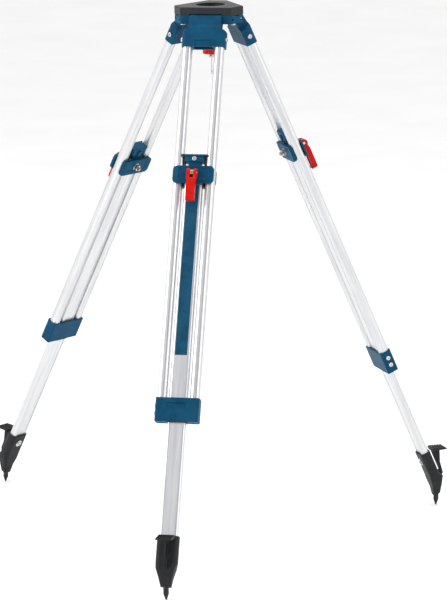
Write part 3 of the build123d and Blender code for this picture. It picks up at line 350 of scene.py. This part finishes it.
def blue_film():
    # Self-adhesive printed film, plain blue: flatter and smoother than the paint, faintly rippled.
    material, tree, shader, place = finish("blue_label_film")
    ripple = add(tree, "TexNoise", {"Vector": place, "Scale": pattern(22.2), "Detail": 2.0})
    shade = spread(tree, ripple.outputs["Fac"], 0.3, 0.7, 0.0, 1.0)
    tree.links.new(
        blend(tree, shade, colour("#0e405a"), colour("#144c68")),
        shader.inputs["Base Color"])
    shader.inputs["Specular IOR Level"].default_value = 0.15
    tree.links.new(
        spread(tree, ripple.outputs["Fac"], 0.3, 0.7, 0.24, 0.32),
        shader.inputs["Roughness"])
    bump = add(tree, "Bump", {"Strength": 0.1, "Distance": 0.1 * MM, "Height": ripple.outputs["Fac"]})
    tree.links.new(bump.outputs["Normal"], shader.inputs["Normal"])
    return material


BLUE, CHARCOAL, ZINC, GOLD = satin_blue_paint(), anthracite_plastic(), bright_zinc(), yellow_zinc()
SHEET, RED, BLACK = plated_sheet(), red_plastic(), black_plastic()
CASTING, SPIKE, FILM = dark_powder_coat(), oxide_black_steel(), blue_film()
ALUMINIUM = {leg: anodised_extrusion(leg) for leg in LEGS}

HEAD_FINISH = {
    "head_plate": CHARCOAL, "head_frame": BLUE, "hinge_pins": ZINC, "corner_screws": ZINC,
    "arm_pivot": ZINC, "screw_arm": SHEET, "slider_bush": BLACK, "thrust_washer": ZINC,
    "fixing_screw": threaded_zinc(), "knob": RED, "plumb_hook": ZINC,
}
LEG_FINISH = {
    "hinge_block": BLUE, "rail_screws": ZINC, "end_bracket": BLUE, "slide_liner": BLACK,
    "guide_cap": BLUE, "slide_pads": BLACK, "clamp_front_plate": BLUE, "clamp_rear_plate": BLUE,
    "clamp_bolt": GOLD, "cam_lever": RED, "lever_pin": ZINC, "foot": CASTING, "foot_spike": SPIKE,
    "lower_fasteners": ZINC, "leg_label": FILM,
}


def finish_of(node):
    if node in HEAD_FINISH:
        return HEAD_FINISH[node]
    piece, leg = node.rsplit("_", 1)
    return LEG_FINISH.get(piece) or ALUMINIUM[leg]


for name, cad in NODES.items():
    cad.data.materials.clear()
    cad.data.materials.append(finish_of(name))


# ---- hand modelling -------------------------------------------------------------------------------
def begin():
    """Out of edit mode with nothing selected, ready for the next primitive."""
    if bpy.context.mode != "OBJECT":
        bpy.ops.object.mode_set(mode="OBJECT")
    bpy.ops.object.select_all(action="DESELECT")


def edit():
    bpy.ops.object.mode_set(mode="EDIT")


def pick_faces(wanted):
    """In edit mode, selects the faces whose every vertex is where wanted says."""
    bpy.ops.mesh.select_mode(type="FACE")
    bpy.ops.mesh.select_all(action="DESELECT")
    mesh = bmesh.from_edit_mesh(bpy.context.edit_object.data)
    for face in mesh.faces:
        face.select_set(all(wanted(vertex.co) for vertex in face.verts))
    bmesh.update_edit_mesh(bpy.context.edit_object.data)


def done(name, material):
    """Leaves edit mode, settles the object at the origin and gives it its name and finish."""
    if bpy.context.mode != "OBJECT":
        bpy.ops.mesh.select_all(action="SELECT")
        bpy.ops.mesh.remove_doubles(threshold=0.01 * MM)
        bpy.ops.mesh.normals_make_consistent(inside=False)
        bpy.ops.object.mode_set(mode="OBJECT")
    piece = bpy.context.active_object
    bpy.ops.object.transform_apply(location=True, rotation=True, scale=True)
    piece.name = name
    piece.data.name = name
    piece.data.materials.clear()
    piece.data.materials.append(material)
    bpy.ops.object.shade_smooth_by_angle(angle=SMOOTH_ANGLE)
    return piece


def modify(piece, kind, **settings):
    """Adds a modifier and applies it."""
    modifier = piece.modifiers.new(kind.lower(), kind)
    for name, value in settings.items():
        setattr(modifier, name, value)
    bpy.context.view_layer.objects.active = piece
    bpy.ops.object.modifier_apply(modifier=modifier.name)


def on_each_leg(drawn, name, body, replaced):
    """Copies a piece drawn in the clamp's axes to the legs, each with its own mesh."""
    for leg in LEGS:
        piece = bpy.data.objects.new(name + "_" + leg, drawn.data.copy())
        bpy.context.scene.collection.objects.link(piece)
        piece.data.transform(clamp_place(leg))
        piece.data.name = piece.name
        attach(piece, body + "_" + leg)
        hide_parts(replaced + "_" + leg)
    bpy.data.objects.remove(drawn)


# ---- cam levers -----------------------------------------------------------------------------------
# Lengths are measured from the lever's pin, in the clamp's axes.
LOBE_R, LEVER_WIDTH, BLADE_WIDTH = 9.0 * MM, 22.0 * MM, 19.6 * MM
DRAWN_BELOW = 0.62 * LOBE_R                      # the blade grows from the lobes' faces below this
BLADE_FACE, BLADE_UNDER = -9.5 * MM, 2.3 * MM    # outer and inner face of the blade
FOLD_DOWN, LEVER_END = 11.5 * MM, 63.0 * MM
BLADE = (                                        # down the blade: distance, width and outer face
    (FOLD_DOWN + 3.0 * MM, LEVER_WIDTH, BLADE_FACE + 0.6 * MM),
    (FOLD_DOWN + 3.8 * MM, BLADE_WIDTH, BLADE_FACE),
    (LEVER_END - 7.0 * MM, BLADE_WIDTH, BLADE_FACE),
    (LEVER_END - 2.0 * MM, BLADE_WIDTH, BLADE_FACE + 0.6 * MM),
    (LEVER_END, BLADE_WIDTH, BLADE_FACE + 3.2 * MM),
)
LIP_UNDER, LIP_HEIGHT, LIP_OVERLAP = 4.7 * MM, 5.0 * MM, 3.0 * MM
POCKET_FROM, POCKET_TO = FOLD_DOWN + 9.0 * MM, LEVER_END - 7.0 * MM
PAST_UNDER = 9.0 * MM                            # how far the pocket's cutter sticks out of the blade
SLOT_WIDTH, SLOT_TO, PIN_R = 8.0 * MM, FOLD_DOWN + 1.0 * MM, 3.0 * MM
LEVER_WALL = 2.6 * MM
EDGE_R, SHARP_ANGLE = 0.7 * MM, math.radians(40.0)


def cut(piece, cutter, operation="DIFFERENCE"):
    modify(piece, "BOOLEAN", object=cutter, operation=operation, solver="EXACT")
    bpy.data.objects.remove(cutter)


def block_between(low, high):
    """A block to cut with, from one corner to the other."""
    begin()
    middle = (Vector(low) + Vector(high)) / 2
    bpy.ops.mesh.primitive_cube_add(size=1.0, location=middle)
    block = bpy.context.active_object
    block.scale = Vector(high) - Vector(low)
    bpy.ops.object.transform_apply(location=True, rotation=True, scale=True)
    return block


def rod_along_pin(radius, length, vertices=48):
    begin()
    bpy.ops.mesh.primitive_cylinder_add(
        radius=radius, depth=length, vertices=vertices, rotation=(0.0, math.pi / 2, 0.0))
    rod = bpy.context.active_object
    bpy.ops.object.transform_apply(location=True, rotation=True, scale=True)
    return rod


def flatten_at(height, width, outer, inner):
    """Lays what is selected flat at one height, this wide, between an outer and an inner face."""
    mesh = bmesh.from_edit_mesh(bpy.context.edit_object.data)
    picked = [vertex for vertex in mesh.verts if vertex.select]
    low = min(vertex.co.y for vertex in picked)
    high = max(vertex.co.y for vertex in picked)
    wider = width / 2 / max(abs(vertex.co.x) for vertex in picked)
    for vertex in picked:
        share = (vertex.co.y - low) / (high - low)
        vertex.co = (vertex.co.x * wider, outer + share * (inner - outer), height)
    bmesh.update_edit_mesh(bpy.context.edit_object.data)


def cam_lever():
    """Two cam lobes on the pin, and a hollow blade drawn down from them with a hooked end."""
    lever = rod_along_pin(LOBE_R, LEVER_WIDTH, vertices=64)
    edit()
    pick_faces(lambda co: co.z < -DRAWN_BELOW)
    for down, width, face in BLADE:
        bpy.ops.mesh.extrude_region_move(TRANSFORM_OT_translate={"value": (0.0, 0.0, -1.0 * MM)})
        flatten_at(-down, width, face, BLADE_UNDER)
    lever = done("cam_lever", RED)
    cut(lever, block_between((-BLADE_WIDTH / 2, BLADE_UNDER - LIP_OVERLAP, -LEVER_END),
                             (BLADE_WIDTH / 2, LIP_UNDER, -LEVER_END + LIP_HEIGHT)), "UNION")
    inside = BLADE_WIDTH / 2 - LEVER_WALL
    cut(lever, block_between((-inside, BLADE_FACE + LEVER_WALL, -POCKET_TO),
                             (inside, BLADE_UNDER + PAST_UNDER, -POCKET_FROM)))
    cut(lever, block_between((-SLOT_WIDTH / 2, -2 * LOBE_R, -SLOT_TO),
                             (SLOT_WIDTH / 2, 2 * LOBE_R, 2 * LOBE_R)))
    cut(lever, rod_along_pin(PIN_R, 2 * LEVER_WIDTH))
    modify(lever, "BEVEL", width=EDGE_R, segments=3, limit_method="ANGLE", angle_limit=SHARP_ANGLE)
    begin()
    lever.select_set(True)
    bpy.context.view_layer.objects.active = lever
    bpy.ops.object.shade_smooth_by_angle(angle=SMOOTH_ANGLE)
    return lever


on_each_leg(cam_lever(), "lever_blade", "lever", replaced="cam_lever")


# ---- knob -----------------------------------------------------------------------------------------
KNOB_LOW, KNOB_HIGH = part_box("knob")
KNOB_R = 19.3 * MM
TOP_RIM, TOP_ARC = 1.4 * MM, 0.4 * MM        # size of the upper rim's rounding, and its middle's inset
LOW_RIM, LOW_ARC = 2.2 * MM, 0.65 * MM
DISH_R, DISH_DEPTH, DISH_LIP = 14.0 * MM, 3.0 * MM, 0.6 * MM
SHANK_R = 7.4 * MM
FLUTES, STEPS_PER_FLUTE = 14, 10
FLUTE_DEPTH, FLUTES_BEYOND = 1.5 * MM, DISH_R + 1.5 * MM
FLUTE_NARROWNESS = 1.5


def knob():
    """Fluted grip with rounded rims, hollow underneath, spun round the fixing screw's shank."""
    low, high = KNOB_LOW.z, KNOB_HIGH.z
    outline = [
        (SHANK_R, high), (KNOB_R - TOP_RIM, high), (KNOB_R - TOP_ARC, high - TOP_ARC),
        (KNOB_R, high - TOP_RIM), (KNOB_R, low + LOW_RIM), (KNOB_R - LOW_ARC, low + LOW_ARC),
        (KNOB_R - LOW_RIM, low), (DISH_R + DISH_LIP, low), (DISH_R, low + DISH_LIP),
        (DISH_R, low + DISH_DEPTH), (SHANK_R, low + DISH_DEPTH),
    ]
    begin()
    bpy.ops.mesh.primitive_circle_add(vertices=len(outline), radius=KNOB_R)
    edit()
    mesh = bmesh.from_edit_mesh(bpy.context.edit_object.data)
    for vertex, (radius, height) in zip(mesh.verts, outline):
        vertex.co = (radius, 0.0, height)
    bmesh.update_edit_mesh(bpy.context.edit_object.data)
    bpy.ops.mesh.select_all(action="SELECT")
    bpy.ops.mesh.spin(
        steps=FLUTES * STEPS_PER_FLUTE, angle=2 * math.pi, center=(0.0, 0.0, 0.0), axis=(0.0, 0.0, 1.0))
    mesh = bmesh.from_edit_mesh(bpy.context.edit_object.data)
    for vertex in mesh.verts:
        if vertex.co.xy.length > FLUTES_BEYOND:
            turn = math.atan2(vertex.co.y, vertex.co.x) * FLUTES
            depth = FLUTE_DEPTH * max(0.0, math.cos(turn)) ** FLUTE_NARROWNESS
            vertex.co.xy = vertex.co.xy * (1.0 - depth / KNOB_R)
    bmesh.update_edit_mesh(bpy.context.edit_object.data)
    grip = done("knob_grip", RED)
    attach(grip, "screw")
    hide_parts("knob")


knob()


# ---- camera, light and floor ----------------------------------------------------------------------
AIM = Vector((0.0161, 0.0033, -0.6643))
AZIMUTH, ELEVATION, ROLL = math.radians(11.54), math.radians(11.70), math.radians(-1.063)
DISTANCE = 8.0587
FOCAL_OVER_LONG_SIDE = 6.0077
FURTHEST_SEEN = 60.0
FLOOR_SIZE = 30.0
LAMPS_FACE = Vector((0.0, 0.0, -0.5))
SOFTBOXES = (    # name, place, width and height, watts
    ("left_softbox", (-3.2, -2.2, 1.6), (2.4, 2.4), 80.0),
    ("right_softbox", (3.4, -1.2, 1.0), (1.8, 2.6), 28.0),
    ("top_softbox", (0.3, 0.6, 2.8), (2.6, 2.6), 45.0),
)
ROOM_STRENGTH = 1.03
DIM_TOWARDS, DIM_FROM, DIM_TO = (0.25, -0.86, 0.45), 0.78, 0.97    # the dim zone's middle and its edges


def add_camera():
    bpy.ops.object.camera_add()
    camera = bpy.context.active_object
    back = Vector((math.sin(AZIMUTH) * math.cos(ELEVATION), -math.cos(AZIMUTH) * math.cos(ELEVATION),
                   math.sin(ELEVATION)))
    right = Vector((math.cos(AZIMUTH), math.sin(AZIMUTH), 0.0))
    up = back.cross(right)
    turned_right = right * math.cos(ROLL) + up * math.sin(ROLL)
    turned_up = up * math.cos(ROLL) - right * math.sin(ROLL)
    place = Matrix((turned_right, turned_up, back)).transposed().to_4x4()
    place.translation = AIM + back * DISTANCE
    camera.matrix_world = place
    camera.data.sensor_fit = "AUTO"
    camera.data.lens = FOCAL_OVER_LONG_SIDE * camera.data.sensor_width
    camera.data.clip_end = FURTHEST_SEEN
    bpy.context.scene.camera = camera


def add_softbox(name, location, size, power):
    """Large soft lamp that faces the tripod's middle."""
    bpy.ops.object.light_add(type="AREA", location=location)
    lamp = bpy.context.active_object
    lamp.name = name
    lamp.data.shape = "RECTANGLE"
    lamp.data.size, lamp.data.size_y = size
    lamp.data.energy = power
    lamp.rotation_euler = (LAMPS_FACE - lamp.location).to_track_quat("-Z", "Y").to_euler()


def add_room():
    """White studio, dimmer in front of the tripod so that bright metal shows its form."""
    world = bpy.data.worlds.new("white_studio")
    bpy.context.scene.world = world
    world.use_nodes = True
    tree = world.node_tree
    background = tree.nodes["Background"]
    ray = add(tree, "TexCoord").outputs["Generated"]
    front = add(tree, "VectorMath", {0: ray, 1: DIM_TOWARDS}, operation="DOT_PRODUCT")
    dim = spread(tree, front.outputs["Value"], DIM_FROM, DIM_TO, 0.0, 1.0)
    tree.links.new(blend(tree, dim, colour("#ffffff"), colour("#95979c")), background.inputs["Color"])
    background.inputs["Strength"].default_value = ROOM_STRENGTH


def add_floor():
    bpy.ops.mesh.primitive_plane_add(size=FLOOR_SIZE, location=(0.0, 0.0, cad_low.z))
    floor = bpy.context.active_object
    floor.name = "floor"
    material, tree, shader, place = finish("white_floor")
    tone = add(tree, "TexNoise", {"Vector": place, "Scale": pattern(333.3), "Detail": 2.0})
    shade = spread(tree, tone.outputs["Fac"], 0.3, 0.7, 0.0, 1.0)
    tree.links.new(
        blend(tree, shade, colour("#f7f7f6"), colour("#fbfbfb")),
        shader.inputs["Base Color"])
    shader.inputs["Roughness"].default_value = 0.9
    floor.data.materials.append(material)


bpy.context.scene.view_settings.view_transform = "Standard"
begin()
add_camera()
add_room()
add_floor()
for softbox in SOFTBOXES:
    add_softbox(*softbox)
